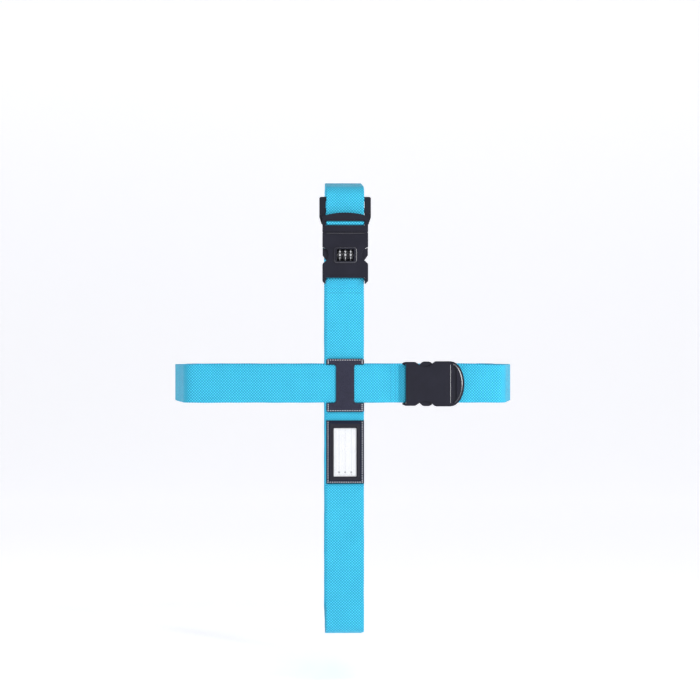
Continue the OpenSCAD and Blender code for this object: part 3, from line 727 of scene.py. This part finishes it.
def rounded(node, radius, material, segments=3, corner=0.0, clamp=False):
    """A copy of a part with its edges rounded. Faces nearly in one plane become one face first."""
    mesh = nodes[node].data.copy()
    work = bmesh.new()
    work.from_mesh(mesh)
    bmesh.ops.remove_doubles(work, verts=work.verts, dist=0.002 * mm)
    bmesh.ops.dissolve_limit(work, angle_limit=radians(0.5), verts=work.verts, edges=work.edges)
    if corner:
        soften(work, corner)
    for f in work.faces:
        f.smooth = True
    work.to_mesh(mesh)
    work.free()
    piece = dress(node + "_finished", mesh, material, body_of(node))
    bevel = piece.modifiers.new("rounded_edges", "BEVEL")
    bevel.width = radius
    bevel.segments = segments
    bevel.limit_method = "ANGLE"
    bevel.angle_limit = radians(28)
    bevel.use_clamp_overlap = clamp
    piece.modifiers.new("flat_faces", "WEIGHTED_NORMAL").keep_sharp = False
    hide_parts(node)
    return piece

plastic_parts = {
    "release_female": (0.6, 1.3, True), "release_male": (0.6, 1.0, True),
    "release_arm_upper": (0.2, 0.6, False), "release_arm_lower": (0.2, 0.6, False),
    "combination_back_shell": (0.4, 1.1, True), "combination_front_shell": (0.5, 1.1, False),
    "combination_male": (0.6, 1.0, True), "combination_arm_left": (0.2, 0.6, False),
    "combination_arm_right": (0.2, 0.6, False), "tail_keeper": (0.5, 0.0, False),
}
for node, (radius, corner, clamp) in plastic_parts.items():
    rounded(node, radius * mm, buckle_finish, corner=corner * mm, clamp=clamp)
for node in ("dial_left", "dial_middle", "dial_right"):
    rounded(node, 0.2 * mm, dial_finish, 2)
for node in ("blocker_left", "blocker_right"):
    rounded(node, 1.0 * mm, brass_finish, 5)
for node, radius, finish in (("cross_keeper", 0.6, leather_finish), ("tag_back", 0.35, tag_finish),
                             ("tag_frame", 0.5, tag_finish)):
    rounded(node, radius * mm, finish)

# %% [markdown]
# ## Works, window and card
# The works are small turned or stamped metal. They are seen only when the buckle is opened up, so they
# keep their meshes, and a finish is all they need.

# %% Finishes of the works, the window and the card
works = {
    # The cams' dark finish is painted shade in the gaps between the dials.
    cam_shade_finish: ("cam_left", "cam_middle", "cam_right"),
    brass_finish: ("reset_button",),
    steel_finish: ("combination_screws", "spindle", "spindle_collar", "cam_spring", "detent_spring"),
    film_finish: ("tag_window",),
    card_finish: ("tag_card",),
}
for finish, names in works.items():
    for node in names:
        nodes[node].data.materials.clear()
        nodes[node].data.materials.append(finish)

# %% [markdown]
# ## Raised lines
# Some details are too fine to be parts: the lip along the crescent, those at the sockets' mouths, the one
# round the dials' window, and the swell of the leather round the tag's window. Each is a ridge, carried
# along a line that lies on the part's face. A moulded lip rises gently from outside and drops steeply
# inside, so its broad outer slope catches the light as one line. The two slopes meet in a soft minimum,
# `(a ** -6 + b ** -6) ** (-1 / 6)`. Every ridge's foot is sunk a little, so that no light shows under it.

# %% Ridges on a face
def ridge(name, line, width, height, material, body, crest=0.0, closed=False, sunk=0.15 * mm):
    """A ridge's height at w, from 1 outside to -1 inside, is the less of (1 - w) / (1 - crest) and
    (1 + w) / (1 + crest). Outside is to the right of the way ahead, as seen from the front. An open ridge
    tapers to nothing at its ends."""
    line = np.asarray(line, float)
    ahead = (np.roll(line, -1, 0) - np.roll(line, 1, 0)) if closed else np.gradient(line, axis=0)
    ahead /= np.linalg.norm(ahead, axis=1)[:, None]
    outside = np.cross(ahead, front)
    w = np.linspace(1, -1, 17)
    slopes = np.stack([(1 - w) / (1 - crest), (1 + w) / (1 + crest)]).clip(1e-3, None)
    rise = height * (slopes ** -6.0).sum(0) ** (-1 / 6) - sunk
    ends = np.sin(np.linspace(0.02, 0.98, len(line)) * np.pi) * 6
    share = np.ones(len(line)) if closed else np.sqrt(ends.clip(0, 1))
    points = line[:, None] + outside[:, None] * (width / 2 * w)[None, :, None] * share[:, None, None] \
        + front * (rise[None, :, None] * share[:, None, None])
    rows, cols = len(line), len(w)
    quads = grid_faces(rows, cols)
    if closed:
        last = grid_faces(2, cols)
        quads = np.vstack([quads, np.where(last >= cols, last - cols, last + (rows - 1) * cols)])
    caps = () if closed else end_caps(rows, cols)
    piece = make_piece(name, points.reshape(-1, 3), quads, material, body, caps=caps)
    face_outwards(piece)
    return piece


def oval(centre_x, centre_z, half_x, half_z, y, start, stop, power=2.0, count=64, closed=False):
    """A superellipse: cosine and sine are raised to 2 / power, which squares the corners as power grows."""
    a = np.radians(np.linspace(start, stop, count, endpoint=not closed))
    c, s = np.cos(a), np.sin(a)
    return np.stack([centre_x + half_x * np.sign(c) * np.abs(c) ** (2 / power), np.full(count, y),
                     centre_z + half_z * np.sign(s) * np.abs(s) ** (2 / power)], -1)


# %% [markdown]
# ## The lips and the tag's swell
# The crescent's lip follows part of an ellipse a little inside the crescent's own. The mouths' lips are
# straight, and the window's is an octagon.

# %% Lips and the tag's swell
lip_in = 3.0 * mm
male_lo, male_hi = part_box("release_male")
crescent_x = release_x + release_l - 1.6 * mm
crescent_half = (male_hi[0] - crescent_x - lip_in, male_hi[2] - level_z - lip_in)
crescent = oval(crescent_x, level_z, *crescent_half, male_lo[1], -70, 76)

mouth_in = 1.35 * mm
mouth_half = web_w / 2 + 1.0 * mm
mouth_x, mouth_y = release_x + release_l - mouth_in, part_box("release_female")[0][1]
mouth_z, shell_y = combo_z + combo_l - mouth_in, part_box("combination_front_shell")[0][1]
release_mouth = np.linspace((mouth_x, mouth_y, level_z - mouth_half),
                            (mouth_x, mouth_y, level_z + mouth_half), 40)
combination_mouth = np.linspace((mouth_half, shell_y, mouth_z), (-mouth_half, shell_y, mouth_z), 40)

window_lo, window_hi, window_half, window_cut = 19.75 * mm, 39.45 * mm, 14.5 * mm, 2.4 * mm
right_corners = [(window_half - window_cut, window_lo), (window_half, window_lo + window_cut),
                 (window_half, window_hi - window_cut), (window_half - window_cut, window_hi)]
window_corners = [(-x, z) for x, z in right_corners[::-1]] + right_corners
corners = np.array([(x, shell_y, combo_z + z) for x, z in window_corners])
window = np.vstack([np.linspace(a, b, 12, endpoint=False) for a, b in zip(corners, np.roll(corners, -1, 0))])

# The lips take the glossy lip finish, whose lighter colour is painted highlight.
for name, line, width, height, body, crest, closed in (
        ("crescent_lip", crescent, 2.2, 0.65, "release_plug", -0.7, False),
        ("release_mouth_lip", release_mouth, 1.3, 0.40, "level_loop", -0.7, False),
        ("combination_mouth_lip", combination_mouth, 1.3, 0.40, "upright_loop", -0.7, False),
        ("dial_window_lip", window, 1.6, 0.60, "upright_loop", -0.6, True)):
    lip = ridge(name, line, width * mm, height * mm, lip_highlight_finish, body, crest, closed)

swell_half, squareness = (17.0 * mm, 34.2 * mm), 14.0
swell_line = oval(0, tag_middle - 0.3 * mm, *swell_half, tag_lo[1], 0, 360, squareness, 200, True)
swell = ridge("tag_swell", swell_line, 3.2 * mm, 0.9 * mm, tag_finish, "upright_loop", closed=True)

# %% [markdown]
# ## Numerals
# Each dial carries ten numerals, printed white. A text curve gives a numeral's outline. Made into a mesh
# and cut into thin bands, it can be wrapped on the dial: height up the numeral becomes angle round the
# dial.

# %% Numerals on the dials
numeral_h, share_of_size = 3.0 * mm, 0.70
numeral_step = radians(36)
dial_lo, dial_hi = (np.array(c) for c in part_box("dial_middle"))
dial_axis = (dial_lo + dial_hi)[1:] / 2
dial_r = (dial_hi - dial_lo)[2] / 2

def flat_numeral(text):
    """A numeral's points, centred, and its faces, cut across every fifth of its height."""
    curve = bpy.data.curves.new("numeral", "FONT")
    curve.body = text
    curve.align_x = "CENTER"
    curve.size = numeral_h / share_of_size
    curve.offset = 0.10 * mm
    curve.extrude = 0.05 * mm
    curve.resolution_u = 4
    holder = bpy.data.objects.new("numeral", curve)
    scene.collection.objects.link(holder)
    bpy.context.view_layer.update()
    mesh = bpy.data.meshes.new_from_object(holder.evaluated_get(bpy.context.evaluated_depsgraph_get()))
    bpy.data.objects.remove(holder)
    work = bmesh.new()
    work.from_mesh(mesh)
    bmesh.ops.remove_doubles(work, verts=work.verts, dist=0.001 * mm)
    low, high = (pick(v.co.y for v in work.verts) for pick in (min, max))
    for y in np.linspace(low, high, 6)[1:-1]:
        bmesh.ops.bisect_plane(work, geom=work.verts[:] + work.edges[:] + work.faces[:],
                               plane_co=(0, y, 0), plane_no=(0, 1, 0))
    bmesh.ops.triangulate(work, faces=work.faces)
    points = np.array([v.co for v in work.verts]) - (0, (low + high) / 2, 0)
    faces = np.array([[v.index for v in f.verts] for f in work.faces])
    work.free()
    return points, faces


def wrapped(points, turn_up, x):
    """Height becomes angle: height / radius. The print stands on the dial's own radius."""
    angle = points[:, 1] / dial_r + turn_up
    radius = dial_r + points[:, 2] + 0.01 * mm
    y, z = dial_axis[0] - radius * np.cos(angle), dial_axis[1] + radius * np.sin(angle)
    return np.stack([x + points[:, 0], y, z], -1)

numerals = [flat_numeral(str(n)) for n in range(10)]
for side in ("left", "middle", "right"):
    lo, hi = (np.array(c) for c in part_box("dial_" + side))
    x = (lo[0] + hi[0]) / 2
    points, faces, count = [], [], 0
    for n, (shape, tris) in enumerate(numerals):
        points.append(wrapped(shape, -numeral_step * n, x))
        faces.append(tris + count)
        count += len(shape)
    mesh = bpy.data.meshes.new("numerals_" + side)
    mesh.from_pydata(np.vstack(points).tolist(), [], np.vstack(faces).tolist())
    piece = dress("numerals_" + side, mesh, numeral_finish, side + "_dial")
    face_outwards(piece)
print("numerals wrapped at", round(dial_r / mm, 2), "mm")

# %% [markdown]
# ## Studio
# A pale studio: one sheet that is floor in front and wall behind, with a wide bend between them, so there
# is no line behind the strap. A case stands on wheels, so its strap's foot is off the floor, and the
# shadow under it is faint. The sky gives most of the light. A strip at the right front runs along the
# buckles' edges, one at the left shines only on the sides that face it, and a small one above picks out
# the level edges.

# %% Studio sheet
wheels = 58 * mm
floor_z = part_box("upright_webbing")[0][2] - wheels
sweep_r, wall_y, room = 1.6, 4.6, 6.0
bend = arc((wall_y - sweep_r, floor_z + sweep_r), sweep_r, radians(-90), 0)
profile = np.vstack([[(-room, floor_z)], bend, [(wall_y, room)]])
across = np.linspace(-room, room, 5)
sheet_points = np.stack(np.broadcast_arrays(across[None, :], profile[:, :1], profile[:, 1:]), -1)
paper_finish = Paint("studio_paper", Roughness=0.9, Specular_IOR_Level=0.1, Base_Color=(0.9, 0.9, 0.92, 1.0),
                     Emission_Color=(0.97, 0.97, 1.0, 1.0), Emission_Strength=0.42)
mesh = bpy.data.meshes.new("studio_paper")
quads = grid_faces(len(profile), len(across), ring=False)
mesh.from_pydata(sheet_points.reshape(-1, 3).tolist(), [], quads.tolist())
mesh.polygons.foreach_set("use_smooth", np.full(len(mesh.polygons), True))
mesh.materials.append(paper_finish.material)
paper = bpy.data.objects.new("studio_paper", mesh)
scene.collection.objects.link(paper)

# %% [markdown]
# ## Lights
# All lights are long rectangles that face the strap. The sky's colour is a little cool, like the paper's.

# %% Lights
def soft_light(name, where, width, height, power):
    """An area light that faces the middle of the strap's front."""
    data = bpy.data.lights.new(name, "AREA")
    data.shape = "RECTANGLE"
    data.size = width
    data.size_y = height
    data.energy = power
    light = bpy.data.objects.new(name, data)
    light.location = where
    light.rotation_euler = (Vector((0, -face, 0.05)) - Vector(where)).to_track_quat("-Z", "Y").to_euler()
    scene.collection.objects.link(light)

soft_light("left_strip", (-1.9, 0.5, 0.5), 0.5, 1.4, 7)
soft_light("right_strip", (1.6, -1.75, 0.50), 0.24, 1.4, 27)
soft_light("top_strip", (0.5, -1.9, 1.4), 1.8, 0.16, 16)
world = bpy.data.worlds.new("studio")
world.use_nodes = True
world.node_tree.nodes["Background"].inputs["Color"].default_value = (0.96, 0.97, 1.0, 1.0)
world.node_tree.nodes["Background"].inputs["Strength"].default_value = 0.40
scene.world = world
